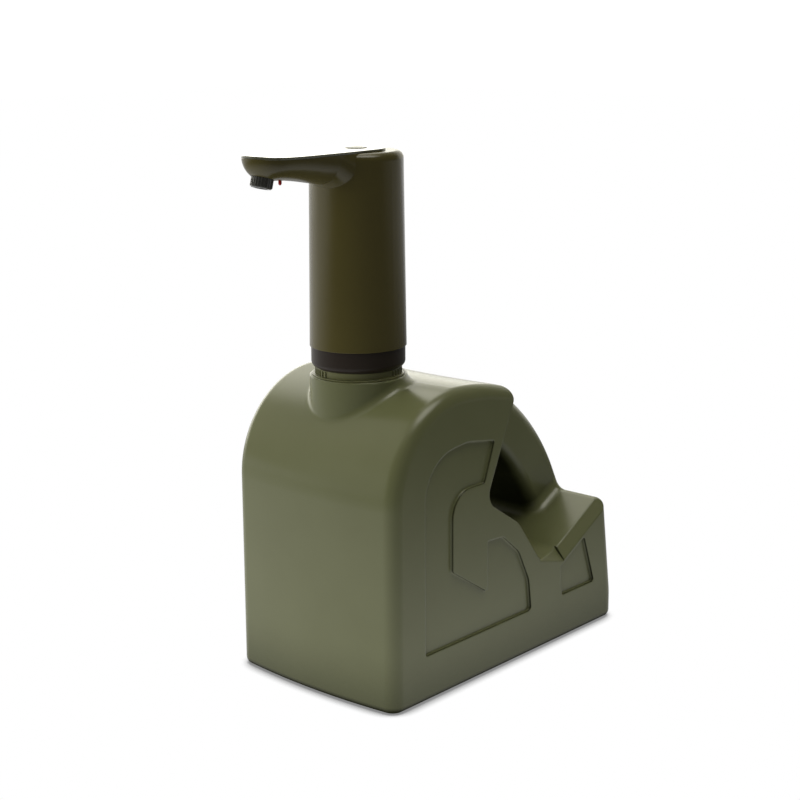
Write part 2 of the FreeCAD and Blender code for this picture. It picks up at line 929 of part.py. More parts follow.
def screw_group(name, places, seat, length):
    items = [screw(x, y, seat, length) for x, y in places]
    return feature_of(name, Part.makeCompound(items))


# pump, motor and cell

def floor_top():
    return size("foot_z + ring_lip + floor_thick")


def pump_foot():
    return floor_top() + size("cradle_floor")


def pump_top():
    return pump_foot() + size("cover_thick + pump_height")


def pump_lugs():
    """Centres of the pump's three lugs."""
    centres = []
    for angle in (size("lug_angle"), -size("lug_angle"), -size("lug_rear_angle")):
        turned = math.radians(angle)
        x = -size("pump_x") + size("lug_reach") * math.cos(turned)
        centres.append((x, size("lug_reach") * math.sin(turned)))
    return centres


def lug_set(foot, thick):
    """Three lugs joined to the middle of the pump."""
    lugs = []
    for x, y in pump_lugs():
        round_end = cylinder(size("lug_radius"), foot, thick, x, y)
        web = box((0, size("lug_reach")), (-size("lug_radius"), size("lug_radius")),
                  (foot, foot + thick))
        angle = math.degrees(math.atan2(y, x + size("pump_x")))
        web.rotate(Vector(0, 0, 0), Vector(0, 0, 1), angle)
        web.translate(Vector(-size("pump_x"), 0, 0))
        lugs += [round_end, web]
    return lugs


def lug_holes(foot, height):
    return [cylinder(size("screw_radius"), foot, height, x, y) for x, y in pump_lugs()]


def make_pump():
    x = -size("pump_x")
    foot = pump_foot()
    cover_top = foot + size("cover_thick")
    roof = pump_top() - size("pump_roof")
    chamber = size("pump_radius - pump_wall")
    cover = cylinder(size("pump_radius"), foot, size("cover_thick"), x)
    cover = cover.fuse(lug_set(foot, size("cover_thick")))
    barb_foot = size("foot_z + ring_lip") - 10
    cover = cover.fuse(cylinder(size("barb_radius"), barb_foot, foot - barb_foot, x))
    bores = [cylinder(size("barb_bore"), barb_foot, cover_top - barb_foot, x)]
    cover = cover.cut(bores + lug_holes(foot - 1, size("cover_thick") + 2))
    feature_of("pump_cover", cover.removeSplitter())

    outlet_y = size("outlet_y")
    shell = cylinder(size("pump_radius"), cover_top, size("pump_height"), x)
    shell = shell.fuse(lug_set(cover_top, size("cover_thick")))
    barb = size("tube_bore") - 0.05
    way = size("barb_bore")
    tower_top = pump_top() + 6
    tower = cylinder(size("tube_radius"), cover_top, roof - cover_top, x, outlet_y)
    tower = tower.fuse(cylinder(barb, roof, tower_top - roof, x, outlet_y))
    bridge = box((x - barb, x + barb), (chamber + 1, outlet_y), (cover_top, roof))
    shell = shell.fuse([tower, bridge])
    middle = (cover_top + roof) / 2
    side_way = Part.makeCylinder(way, outlet_y, Vector(x, 0, middle), Vector(0, 1, 0))
    shell = shell.cut([
        cylinder(chamber, cover_top, roof - cover_top, x),
        side_way,
        cylinder(way, middle, tower_top - middle, x, outlet_y),
        cylinder(size("shaft_radius") + 2, roof, 2, x),
        cylinder(size("shaft_radius") + 0.3, roof, size("pump_roof"), x),
    ])
    shell = shell.cut(lug_holes(cover_top - 1, size("cover_thick") + 2))
    feature_of("pump_housing", shell.removeSplitter())
    seal = cylinder(size("shaft_radius") + 2, roof, 2, x)
    seal = seal.cut(cylinder(size("shaft_radius"), roof, 2, x))
    feature_of("shaft_seal", seal)
    screw_group("pump_screws", pump_lugs(), cover_top + size("cover_thick"),
                size("cover_thick") * 2)


def make_impeller():
    foot = pump_foot() + size("cover_thick") + 1
    body = new_body("impeller")
    hub = "shaft_radius + 1.8"
    top = pump_top() - size("pump_roof") - 1
    turn(body, [
        ("shaft_radius", f"{foot}"),
        (hub, f"{foot}"),
        (hub, f"{top - 1.2}"),
        ("rotor_radius", f"{top - 1.2}"),
        ("rotor_radius", f"{top}"),
        ("shaft_radius", f"{top}"),
    ])
    body.Placement.Base.x = -size("pump_x")
    body.setExpression("Placement.Base.x", bound("- pump_x"))

    def one_vane(sketch):
        draw_outline(sketch, [
            ("shaft_radius + 1.2", "- 0.5"),
            ("rotor_radius - 0.4", "- 3.4"),
            ("rotor_radius - 0.2", "- 2.4"),
            ("shaft_radius + 1.2", "0.5"),
        ])

    vane = raise_pad(body, "vane", one_vane, f"{foot}", f"{top - 1 - foot}")
    repeat_round(body, "vanes", vane, int(size("vane_count")), 360)


def make_motor():
    x = -size("pump_x")
    foot = pump_top()
    length = size("motor_length")
    can = cylinder(size("motor_radius"), foot, length - 3, x)
    rim = [e for e in can.Edges if e.Length > 20 and e.BoundBox.ZLength < 0.01]
    can = can.makeFillet(1, rim)
    cap = cylinder(size("motor_radius") - 1.2, foot + length - 4, 4, x)
    boss = cylinder(3, foot + length, 1.4, x)
    shaft_foot = pump_foot() + size("cover_thick") + 1
    shaft = cylinder(size("shaft_radius"), shaft_foot, foot - shaft_foot + 1, x)
    motor = can.fuse([cap, boss, shaft])
    for side in (-1, 1):
        tag = box((x - 0.4, x + 0.4), (side * 7 - 1.2, side * 7 + 1.2),
                  (foot + length - 1, foot + length + 4))
        motor = motor.fuse(tag)
    feature_of("pump_motor", motor.removeSplitter())


def make_cradle():
    foot = floor_top()
    top = foot + size("cradle_floor")
    cell_x = size("cell_x")
    cell_foot = size("cell_foot")
    cell_top = cell_foot + size("cell_length")
    wall = size("cradle_wall_x")
    shelf = size("shelf_thick")
    room = size("cell_radius") + 0.1
    plate = cylinder(size("cradle_radius"), foot, top - foot)
    upright = box((wall, wall + size("cradle_wall")), (-17, 17), (foot, cell_top + shelf))
    saddle = box((wall, cell_x - 4), (-8.6, 8.6), (cell_foot + 4, cell_top - 4))
    shelves = []
    for low in (cell_foot - shelf, cell_top):
        disc = cylinder(size("shelf_radius"), low, shelf)
        shelves.append(disc.common(box((wall, 40), (-14, 14), (low, low + shelf))))
    ribs = [box((wall, 20), (y - 1, y + 1), (foot, cell_foot - shelf)) for y in (-10, 10)]
    cradle = plate.fuse([upright, saddle] + shelves + ribs)
    cradle = cradle.cut([
        cylinder(room, cell_foot, cell_top - cell_foot, cell_x),
        cylinder(3.4, cell_top - 1, shelf + 2, cell_x),
        cylinder(size("barb_radius") + 0.2, foot - 1, 5, -size("pump_x")),
        box((wall - 1, wall + 5), (-5, 5), (cell_foot + 12, cell_top - 12)),
    ])
    holes = [cylinder(size("screw_radius"), foot - 1, 5, size(x), size(y))
             for x, y in CRADLE_SCREWS]
    feature_of("cell_cradle", cradle.cut(holes).removeSplitter())
    places = [(size(x), size(y)) for x, y in CRADLE_SCREWS]
    screw_group("chassis_screws", places, top, size("cradle_floor + floor_thick") - 0.4)


def make_cell():
    body = new_body("battery_cell", x="cell_x", z="cell_foot")
    turn(body, [
        ("0", "0"),
        ("cell_radius", "0"),
        ("cell_radius", "cell_length - 2.6"),
        ("cell_radius - 0.4", "cell_length - 2.2"),
        ("cell_radius - 0.4", "cell_length - 1.8"),
        ("cell_radius", "cell_length - 1.4"),
        ("cell_radius", "cell_length"),
        ("2.8", "cell_length"),
        ("2.8", "cell_length + 1"),
        ("0", "cell_length + 1"),
    ])


# housing with the arm

def top_profile(drop):
    """Side view of everything above the plate's underside, lowered by drop."""
    start = -size("tip_start")
    tip = -size("nose_y") - size("nose_width") / 2
    low = size("plate_top") - drop
    middle = (start + tip) / 2
    bend = Part.Arc(Vector(0, start, low),
                    Vector(0, middle, low + size("tip_rise") / 4),
                    Vector(0, tip, low + size("tip_rise"))).toShape()
    high = low + 60
    corners = [
        Vector(0, tip, low + size("tip_rise")),
        Vector(0, tip - 10, low + size("tip_rise")),
        Vector(0, tip - 10, high),
        Vector(0, 60, high),
        Vector(0, 60, low),
        Vector(0, start, low),
    ]
    lines = [Part.LineSegment(a, b).toShape() for a, b in zip(corners, corners[1:])]
    return Part.Wire([bend] + lines)


def arm_ring(y, width, depth, inset):
    """A ring through both plate edges and the keel at one place along the arm."""
    half = width / 2
    radius = (half ** 2 + depth ** 2) / (2 * depth)
    centre = Vector(0, y, size("plate_top") - depth + radius)
    upright = Rotation(Vector(0, 0, 1), Vector(1, 0, 0), Vector(0, 1, 0))
    ring = Part.makeCircle(radius - inset)
    ring.Placement = Placement(centre, upright)
    return Part.Wire([ring]), centre, radius - inset


def arm_solid(inset):
    """The boat-shaped arm, flared where it leaves the housing, still round above the plate."""
    root_y = -size("root_y")
    wide = size("root_width")
    deep = size("root_depth")
    flare = [
        (-14, wide, deep + 9),
        (root_y + 4, wide, deep + 6.5),
        (root_y - 1, wide - 0.2, deep + 2.6),
        (root_y - 8, wide - 0.8, deep - 1.8),
    ]
    beam = [
        (root_y + 6, wide, deep + 0.6),
        (root_y, wide, deep),
        (-size("middle_y"), size("middle_width"), size("middle_depth")),
        (-size("nose_y"), size("nose_width"), size("nose_depth")),
    ]
    lofts = []
    for sections in (flare, beam):
        rings = [arm_ring(*section, inset) for section in sections]
        lofts.append(Part.makeLoft([wire for wire, _, _ in rings], True, False))
    _, centre, radius = rings[-1]
    nose = Part.makeSphere(radius, centre, Vector(0, -1, 0), 0, 90, 360)
    return lofts[1].fuse([lofts[0], nose])


def plate_plan(inset, foot, height):
    """The plate's outline as a prism: round behind, tapered ahead, round nose."""
    root = size("root_width") / 2 - inset
    middle = size("middle_width") / 2 - inset
    nose = size("nose_width") / 2 - inset
    right = [Vector(root, 0, 0), Vector(root, -size("root_y"), 0),
             Vector(middle, -size("middle_y"), 0), Vector(nose, -size("nose_y"), 0)]
    left = [Vector(-p.x, p.y, 0) for p in reversed(right)]
    rear = Part.Arc(left[-1], Vector(0, root, 0), right[0]).toShape()
    bow = Part.Arc(right[-1], Vector(0, -size("nose_y") - nose, 0), left[0]).toShape()
    edges = [rear] + [Part.LineSegment(a, b).toShape() for a, b in zip(right, right[1:])]
    edges += [bow] + [Part.LineSegment(a, b).toShape() for a, b in zip(left, left[1:])]
    face = Part.Face(Part.Wire(edges))
    face.translate(Vector(0, 0, foot))
    return face.extrude(Vector(0, 0, height))


def nozzle_place():
    """The nozzle's own frame: its axis leans back from the outlet."""
    lean = Rotation(Vector(1, 0, 0), -size("nozzle_tilt"))
    return Placement(Vector(0, -size("nozzle_y"), size("nozzle_z")), lean)


def housing_outline(inset, low, high):
    """Half profile of the round housing, shoulder rounded."""
    foot = size("housing_foot") - inset
    shoulder = size("housing_shoulder") - inset
    bend = size("shoulder_round") - inset
    slope = bend * 0.7071
    start = Vector(shoulder, 0, high - bend)
    middle = Vector(shoulder - bend + slope, 0, high - bend + slope)
    end = Vector(shoulder - bend, 0, high)
    edges = [
        Part.LineSegment(Vector(0, 0, low), Vector(foot, 0, low)).toShape(),
        Part.LineSegment(Vector(foot, 0, low), start).toShape(),
        Part.Arc(start, middle, end).toShape(),
        Part.LineSegment(end, Vector(0, 0, high)).toShape(),
        Part.LineSegment(Vector(0, 0, high), Vector(0, 0, low)).toShape(),
    ]
    face = Part.Face(Part.Wire(edges))
    return face.revolve(Vector(0, 0, 0), Vector(0, 0, 1), 360)


def post_places():
    """Where the board's three posts stand on the housing's inside."""
    places = []
    for angle in (2, 178, 62):
        turned = math.radians(angle)
        places.append((math.cos(turned), math.sin(turned)))
    return places


def make_housing():
    low = size("foot_z + ring_height")
    high = size("housing_top")
    wall = size("housing_wall")
    plate = size("plate_thick")
    under = size("plate_top") - plate
    arm = arm_solid(0).cut(along_x(top_profile(plate), -40, 40))
    outer = housing_outline(0, low, high).fuse(arm).removeSplitter()
    outer = outer.cut(plate_plan(0, under, 6).common(box((-40, 40), (-31, 40), (under, under + 6))))
    inner = housing_outline(wall, low - 1, high - wall)
    channel = arm_solid(size("arm_wall")).cut(box((-40, 40), (-60, 40), (under + 1, under + 60)))
    hollow = inner.fuse([channel, cylinder(size("roof_opening"), high - 6, 8)])
    shell = outer.cut(hollow)
    posts = []
    holes = []
    reach = size("post_reach")
    board = size("board_z")
    for x, y in post_places():
        posts.append(cylinder(size("post_radius"), board - 9, 9, x * reach, y * reach))
        hole = (size("screw_radius"), board - 7, 7, x * (reach - 1.6), y * (reach - 1.6))
        holes.append(cylinder(*hole))
    shell = shell.fuse(posts).cut(holes)
    hole = cylinder(size("nozzle_radius + nozzle_rib + running_gap"), -12, 24)
    hole.Placement = nozzle_place()
    lens = cylinder(size("lens_radius"), size("lens_z"), size("lens_length") + 4,
                    0, -size("lens_y"))
    port_z = size("board_z + board_thick")
    half = size("port_width") / 2 + 0.6
    port = box((-half, half), (20, 40), (port_z - 0.4, port_z + size("port_height") + 0.6))
    shell = shell.cut([hole, lens, port, flap_pocket()])
    feature_of("tap_housing", shell.removeSplitter())


def flap_shape(grow):
    """Curved flap with a round barrel along its lower edge."""
    half = size("flap_width") / 2 + grow
    pivot_y = size("flap_pivot_y")
    pivot_z = size("flap_pivot_z")
    thick = size("flap_thick")
    top = pivot_z + size("flap_height") + grow
    low = size("foot_z + ring_height")
    high = size("housing_top")
    skin = housing_outline(-grow, low, high).cut(housing_outline(thick + grow, low - 1, high + 1))
    face = skin.common(box((-half, half), (20, 40), (pivot_z, top)))
    barrel = Part.makeCylinder(0.8 + grow, 2 * half, Vector(-half, pivot_y, pivot_z),
                               Vector(1, 0, 0))
    return face.fuse(barrel)


def flap_pocket():
    return flap_shape(size("running_gap"))


def make_flap():
    flap = flap_shape(0)
    lift = size("flap_pivot_z") + size("flap_height") - 1.4
    grip = Part.makeCylinder(0.7, 4, Vector(-2, size("flap_pivot_y") + 0.9, lift),
                             Vector(1, 0, 0))
    feature_of("charge_flap", flap.fuse(grip).removeSplitter())


def make_plate():
    thick = size("plate_thick")
    under = size("plate_top") - thick
    prism = plate_plan(0.05, under - 1, 8)
    cap = prism.common(along_x(top_profile(thick), -40, 40))
    cap = cap.cut(along_x(top_profile(0), -40, 40))
    cap = cap.cut(cylinder(size("button_radius + running_gap"), under - 2, 8))
    rim = []
    for edge in cap.Edges:
        limits = edge.BoundBox
        high = limits.ZMin > size("plate_top") - 0.01
        outside = max(abs(limits.XMin), abs(limits.XMax), -limits.YMin) > 9
        across = limits.YLength < 0.01 and limits.XLength > 20
        if high and outside and not across and not touches_hole(edge):
            rim.append(edge)
    feature_of("top_plate", cap.makeChamfer(0.4, rim))


def touches_hole(edge):
    spot = edge.valueAt(edge.FirstParameter)
    return math.hypot(spot.x, spot.y) < size("button_radius") + 2


# nozzle, elbow and lens

def make_nozzle():
    body = new_body("aerator_nozzle", y="- nozzle_y", z="nozzle_z")
    inner = "screen_radius"
    turn(body, [
        ("screen_radius - 1", "- nozzle_out"),
        ("nozzle_radius - 0.6", "- nozzle_out"),
        ("nozzle_radius", "- nozzle_out + 0.6"),
        ("nozzle_radius", "nozzle_in"),
        (inner, "nozzle_in"),
        (inner, "- nozzle_out + nozzle_lip"),
        ("screen_radius - 1", "- nozzle_out + nozzle_lip"),
    ])

    def one_rib(sketch):
        draw_outline(sketch, [
            ("nozzle_radius - 0.3", "- 0.45"),
            ("nozzle_radius + nozzle_rib", "- 0.2"),
            ("nozzle_radius + nozzle_rib", "0.2"),
            ("nozzle_radius - 0.3", "0.45"),
        ])

    rib = raise_pad(body, "nozzle_rib", one_rib, "- nozzle_out + 0.8",
                    "nozzle_out + nozzle_in - 1.6")
    repeat_round(body, "nozzle_ribs", rib, int(size("nozzle_ribs")), 360)
    body.Placement.Rotation = nozzle_place().Rotation

    low = size("nozzle_lip") - size("nozzle_out")
    screen = cylinder(size("screen_radius"), low, size("screen_thick"))
    holes = [cylinder(0.45, low - 1, 4)]
    for ring, count in ((1.6, 6), (3.1, 12), (4.4, 16)):
        for i in range(count):
            turned = 2 * math.pi * i / count
            spot = (ring * math.cos(turned), ring * math.sin(turned))
            holes.append(cylinder(0.45, low - 1, 4, *spot))
    feature_of("aerator_screen", screen.cut(holes), nozzle_place())


def elbow_inlet():
    """Height of the elbow's level inlet, in the nozzle's frame."""
    return size("elbow_height") - size("elbow_bore") - 1.2


def make_elbow():
    place = nozzle_place()
    foot = size("nozzle_lip + screen_thick + running_gap") - size("nozzle_out")
    top = size("elbow_height")
    drum = cylinder(size("elbow_radius"), foot, top - foot)
    rim = [e for e in drum.Edges if abs(e.BoundBox.ZMin - top) < 1e-3]
    drum = drum.makeFillet(1, rim)
    drum.Placement = place
    centre = place.multVec(Vector(0, 0, elbow_inlet()))
    run = size("tube_run_z")
    barb_length = 10.5
    barb = Part.makeCylinder(size("tube_bore") - 0.05, barb_length,
                             Vector(0, centre.y, run), Vector(0, 1, 0))
    way = Part.makeCylinder(1.6, barb_length, Vector(0, centre.y, run), Vector(0, 1, 0))
    well = cylinder(size("elbow_bore"), foot - 1, top - 1.4 - foot)
    well.Placement = place
    feature_of("outlet_elbow", drum.fuse(barb).cut([way, well]).removeSplitter())


def make_lens():
    body = new_body("indicator_lens", y="- lens_y", z="lens_z")
    turn(body, [
        ("0", "0"),
        ("lens_radius - 0.8", "0"),
        ("lens_radius - 0.3", "0.4"),
        ("lens_radius", "1"),
        ("lens_radius", "lens_length"),
        ("0", "lens_length"),
    ])


# water ways

def pipe(points, bend, radius):
    """A solid rod of one radius through points, with rounded bends."""
    edges = []
    last = points[0]
    for before, corner, after in zip(points, points[1:], points[2:]):
        back = (before - corner).normalize()
        ahead = (after - corner).normalize()
        half = back.getAngle(ahead) / 2
        reach = bend / math.tan(half)
        centre = corner + (back + ahead).normalize() * (bend / math.sin(half))
        start = corner + back * reach
        end = corner + ahead * reach
        middle = centre + (corner - centre).normalize() * bend
        edges.append(Part.LineSegment(last, start).toShape())
        edges.append(Part.Arc(start, middle, end).toShape())
        last = end
    edges.append(Part.LineSegment(last, points[-1]).toShape())
    along = (points[1] - points[0]).normalize()
    ring = Part.Wire([Part.Circle(points[0], along, radius).toShape()])
    return Part.Wire(edges).makePipeShell([ring], True, False)


def make_delivery_tube():
    x = -size("pump_x")
    y = size("outlet_y")
    run = size("tube_run_z")
    low = pump_top() - size("pump_roof")
    place = nozzle_place()
    end = place.multVec(Vector(0, 0, elbow_inlet())).y + size("elbow_radius") + 0.6
    points = [
        Vector(x, y, low),
        Vector(x, y, run),
        Vector(x, -24, run),
        Vector(0, -48, run),
        Vector(0, end, run),
    ]
    rod = pipe(points, 6.5, size("tube_radius"))
    feature_of("delivery_tube", rod.cut(pipe(points, 6.5, size("tube_bore"))))


def make_hose():
    top = size("foot_z + ring_lip") - 0.2
    body = new_body("suction_hose", x="- pump_x", z="hose_foot")
    turn(body, [
        ("hose_bore", "0"),
        ("hose_radius", "0"),
        ("hose_radius", "foot_z + ring_lip - hose_foot - 0.2"),
        ("hose_bore", "foot_z + ring_lip - hose_foot - 0.2"),
    ])
    clip = cylinder(6, top - 6, 3, -size("pump_x"))
    ear = box((-size("pump_x") - 1.6, -size("pump_x") + 1.6), (4, 8.6), (top - 6, top - 3))
    slit = box((-size("pump_x") - 0.4, -size("pump_x") + 0.4), (4, 10), (top - 7, top - 2))
    bore = cylinder(size("hose_radius"), top - 7, 5, -size("pump_x"))
    feature_of("hose_clip", clip.fuse(ear).cut([bore, slit]).removeSplitter())


def make_strainer():
    cage = new_body("strainer_cage", x="- pump_x", z="strainer_foot")
    wall = "strainer_radius - strainer_wall"
    height = "hose_foot - strainer_foot - 4"
    turn(cage, [
        ("0", "0"),
        ("strainer_radius", "0"),
        ("strainer_radius", height),
        (wall, height),
        (wall, "1.6"),
        ("0", "1.6"),
    ])
    soften(cage, "strainer_foot_edge", "1", circle_at("strainer_radius", "0"))

    def one_slot(sketch):
        draw_outline(sketch, [
            ("strainer_radius - strainer_wall - 1", "- 1"),
            ("strainer_radius + 1", "- 1"),
            ("strainer_radius + 1", "1"),
            ("strainer_radius - strainer_wall - 1", "1"),
        ])

    slot = cut_pocket(cage, "strainer_slot", one_slot, "hose_foot - strainer_foot - 7", "11")
    repeat_round(cage, "strainer_slots", slot, int(size("slot_count")), 360)

    cap = new_body("strainer_cap", x="- pump_x", z="hose_foot - 4")
    turn(cap, [
        ("barb_bore", "- 2"),
        (wall, "- 2"),
        (wall, "0"),
        ("strainer_radius", "0"),
        ("strainer_radius - 1", "2"),
        ("hose_radius + 1.4", "2"),
        ("hose_radius + 1.4", "7"),
        ("hose_radius", "7"),
        ("hose_radius", "4"),
        ("hose_bore", "4"),
        ("barb_bore", "4"),
    ])


# button, board and port

def make_button():
    body = new_body("power_button", z="plate_top")
    under = "- plate_thick - 0.2"
    flange = "- plate_thick - 1.7"
    stem = "board_z + board_thick + switch_height + button_travel - plate_top + 0.1"
    turn(body, [
        ("0", stem),
        ("button_stem", stem),
        ("button_stem", flange),
        ("button_flange", flange),
        ("button_flange", under),
        ("button_radius", under),
        ("button_radius", "button_proud"),
        ("0", "button_proud"),
    ])
    soften(body, "button_edge", "0.4", circle_at("button_radius", "button_proud"))


def make_spring():
    low = size("board_z + board_thick + spring_wire")
    high = size("plate_top - plate_thick - 1.7 - spring_wire")
    pitch = (high - low) / 3.5
    helix = Part.makeHelix(pitch, high - low, size("spring_radius"))
    corners = []
    for i in range(9):
        turned = math.radians(45 * i)
        reach = size("spring_radius") + size("spring_wire") * math.cos(turned)
        corners.append(Vector(reach, 0, size("spring_wire") * math.sin(turned)))
    coil = Part.Wire(helix).makePipeShell([Part.makePolygon(corners)], True, True)
    coil.translate(Vector(0, 0, low))
    feature_of("button_spring", coil)


def make_board():
    low = size("board_z")
    thick = size("board_thick")
    board = cylinder(size("board_radius"), low, thick)
    board = board.cut(box((-40, 40), (-60, -size("board_front")), (low - 1, low + 5)))
    gap = size("tube_radius") + 0.8
    board = board.cut(cylinder(gap, low - 1, 5, -size("pump_x"), size("outlet_y")))
    top = low + thick
    reach = size("post_reach") - 1.6
    places = [(x * reach, y * reach) for x, y in post_places()]
    board = board.cut([cylinder(size("screw_radius"), low - 1, 5, x, y) for x, y in places])
    chips = [
        box((6, 13), (-9, -2), (top, top + 1.2)),
        box((-12, -7), (-9, -5), (top, top + 0.9)),
        box((8, 11.5), (4, 9), (top, top + 1)),
    ]
    coil = cylinder(2.6, top, 2.8, 17, -5)
    feature_of("control_board", board.fuse(chips + [coil]).removeSplitter())
    screw_group("board_screws", places, top, 7)
    half = size("switch_size") / 2
    switch = box((-half, half), (-half, half), (top, top + size("switch_height") - 1))
    knob = cylinder(1.75, top, size("switch_height"))
    feature_of("tactile_switch", switch.fuse(knob).removeSplitter())
    face = size("port_face")
    half = size("port_width") / 2
    high = top + size("port_height")
    shell = box((-half, half), (face - size("port_depth"), face), (top, high))
    long_edges = [e for e in shell.Edges if e.BoundBox.YLength > 1]
    shell = shell.makeFillet(size("port_height") / 2 - 0.1, long_edges)
    room = box((-half + 0.35, half - 0.35), (face - 6, face + 1), (top + 0.35, high - 0.35))
    long_edges = [e for e in room.Edges if e.BoundBox.YLength > 1]
    room = room.makeFillet(size("port_height") / 2 - 0.45, long_edges)
    tongue = box((-half + 1.6, half - 1.6), (face - 6.5, face - 0.8),
                 ((top + high) / 2 - 0.35, (top + high) / 2 + 0.35))
    feature_of("charging_port", shell.cut(room).fuse(tongue).removeSplitter())


# build and export

NODES = [
    "canister", "neck_adapter", "neck_o_ring", "base_ring", "tap_chassis", "plug_o_ring",
    "chassis_screws", "cell_cradle", "battery_cell", "pump_motor", "pump_housing",
    "pump_cover", "impeller", "shaft_seal", "pump_screws", "delivery_tube", "outlet_elbow",
    "aerator_nozzle", "aerator_screen", "indicator_lens", "tap_housing", "top_plate",
    "power_button", "button_spring", "tactile_switch", "control_board", "board_screws",
    "charging_port", "charge_flap", "suction_hose", "hose_clip", "strainer_cage",
    "strainer_cap",
]


def build():
    fill_sheet()
    make_canister()
    make_adapter()
    make_base_ring()
    make_chassis()
    make_cradle()
    make_cell()
    make_pump()
    make_impeller()
    make_motor()
    make_housing()
    make_plate()
    make_flap()
    make_nozzle()
    make_elbow()
    make_lens()
    make_delivery_tube()
    make_hose()
    make_strainer()
    make_button()
    make_spring()
    make_board()
    DOC.recompute()


def export():
    for item in DOC.Objects:
        if "Invalid" in item.State or "Error" in item.State:
            raise RuntimeError(f"{item.Name} did not build")
    os.makedirs("parts", exist_ok=True)
    for name in NODES:
        item = DOC.getObjectsByLabel(name)[0]
        shape = item.Shape
        if shape.isNull() or not shape.isValid() or shape.Volume < 0.1:
            raise RuntimeError(f"{name} is not a sound solid")
        shape.exportStep(os.path.join("parts", name + ".step"))


build()
export()
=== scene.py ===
"""Looks of the electric camping tap: olive moulded canister, brown-olive tap, black ring."""
import math

import bmesh
import bpy
from mathutils import Matrix, Vector

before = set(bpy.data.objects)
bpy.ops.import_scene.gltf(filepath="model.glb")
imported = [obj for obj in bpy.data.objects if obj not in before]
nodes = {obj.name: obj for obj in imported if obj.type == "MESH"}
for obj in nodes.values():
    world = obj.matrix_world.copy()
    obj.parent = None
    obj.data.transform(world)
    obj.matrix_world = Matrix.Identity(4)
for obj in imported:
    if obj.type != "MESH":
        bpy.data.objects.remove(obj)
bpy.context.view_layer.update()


# shared effects

def group_with(name, inputs, outputs):
    """A shader node group with named inputs (kind, value) and outputs (kind)."""
    group = bpy.data.node_groups.new(name, "ShaderNodeTree")
    kinds = {"colour": "NodeSocketColor", "value": "NodeSocketFloat", "vector": "NodeSocketVector"}
    for label, kind, value in inputs:
        socket = group.interface.new_socket(name=label, in_out="INPUT", socket_type=kinds[kind])
        socket.default_value = value
    for label, kind in outputs:
        group.interface.new_socket(name=label, in_out="OUTPUT", socket_type=kinds[kind])
    enter = group.nodes.new("NodeGroupInput")
    leave = group.nodes.new("NodeGroupOutput")
    return group, enter, leave


def noise_in(tree, coordinates, scale, detail, rough=0.5):
    """A noise texture on given coordinates; scale is a number or a socket."""
    noise = tree.nodes.new("ShaderNodeTexNoise")
    noise.inputs["Detail"].default_value = detail
    noise.inputs["Roughness"].default_value = rough
    tree.links.new(coordinates, noise.inputs["Vector"])
    if isinstance(scale, (int, float)):
        noise.inputs["Scale"].default_value = scale
    else:
        tree.links.new(scale, noise.inputs["Scale"])
    return noise.outputs["Fac"]


def ranged(tree, value, low, high, to_low=0.0, to_high=1.0):
    """Maps a value from one range to another, clamped; ends are numbers or sockets."""
    node = tree.nodes.new("ShaderNodeMapRange")
    tree.links.new(value, node.inputs["Value"])
    ends = zip(("From Min", "From Max", "To Min", "To Max"), (low, high, to_low, to_high))
    for label, end in ends:
        if isinstance(end, (int, float)):
            node.inputs[label].default_value = end
        else:
            tree.links.new(end, node.inputs[label])
    return node.outputs["Result"]


def mixed(tree, amount, first, second):
    """Mixes two colours by a mask."""
    node = tree.nodes.new("ShaderNodeMix")
    node.data_type = "RGBA"
    tree.links.new(amount, node.inputs["Factor"])
    for index, colour in ((6, first), (7, second)):
        if isinstance(colour, bpy.types.NodeSocket):
            tree.links.new(colour, node.inputs[index])
        else:
            node.inputs[index].default_value = colour
    return node.outputs[2]


def blended(tree, amount, first, second):
    """Mixes two values by a mask; each is a number or a socket."""
    node = tree.nodes.new("ShaderNodeMix")
    for index, value in enumerate((amount, None, first, second)):
        if isinstance(value, bpy.types.NodeSocket):
            tree.links.new(value, node.inputs[index])
        elif value is not None:
            node.inputs[index].default_value = value
    return node.outputs[0]


def calculated(tree, kind, first, second):
    """One step of arithmetic on two values; each is a number or a socket."""
    node = tree.nodes.new("ShaderNodeMath")
    node.operation = kind
    for index, value in enumerate((first, second)):
        if isinstance(value, bpy.types.NodeSocket):
            tree.links.new(value, node.inputs[index])
        else:
            node.inputs[index].default_value = value
    return node.outputs[0]


def build_moulding_group():
    """Moulded plastic: clouded colour, patchy roughness and a fine grain."""
    group, enter, leave = group_with(
        "moulding",
        [
            ("Colour", "colour", (0.1, 0.1, 0.1, 1)),
            ("Cloud Colour", "colour", (0.1, 0.1, 0.1, 1)),
            ("Cloud Scale", "value", 18.0),
            ("Grain Scale", "value", 2600.0),
            ("Roughness", "value", 0.45),
            ("Spread", "value", 0.03),
        ],
        [("Colour", "colour"), ("Roughness", "value"), ("Height", "value")],
    )
    place = group.nodes.new("ShaderNodeTexCoord").outputs["Object"]
    cloud = noise_in(group, place, enter.outputs["Cloud Scale"], 4.0)
    cloud = ranged(group, cloud, 0.35, 0.65)
    colour = mixed(group, cloud, enter.outputs["Colour"], enter.outputs["Cloud Colour"])
    patch = noise_in(group, place, 55.0, 6.0, 0.65)
    spread = ranged(group, patch, 0.3, 0.7)
    spread = calculated(group, "MULTIPLY", spread, enter.outputs["Spread"])
    rough = calculated(group, "ADD", enter.outputs["Roughness"], spread)
    grain = noise_in(group, place, enter.outputs["Grain Scale"], 2.0, 0.6)
    group.links.new(colour, leave.inputs["Colour"])
    group.links.new(rough, leave.inputs["Roughness"])
    group.links.new(grain, leave.inputs["Height"])
    return group


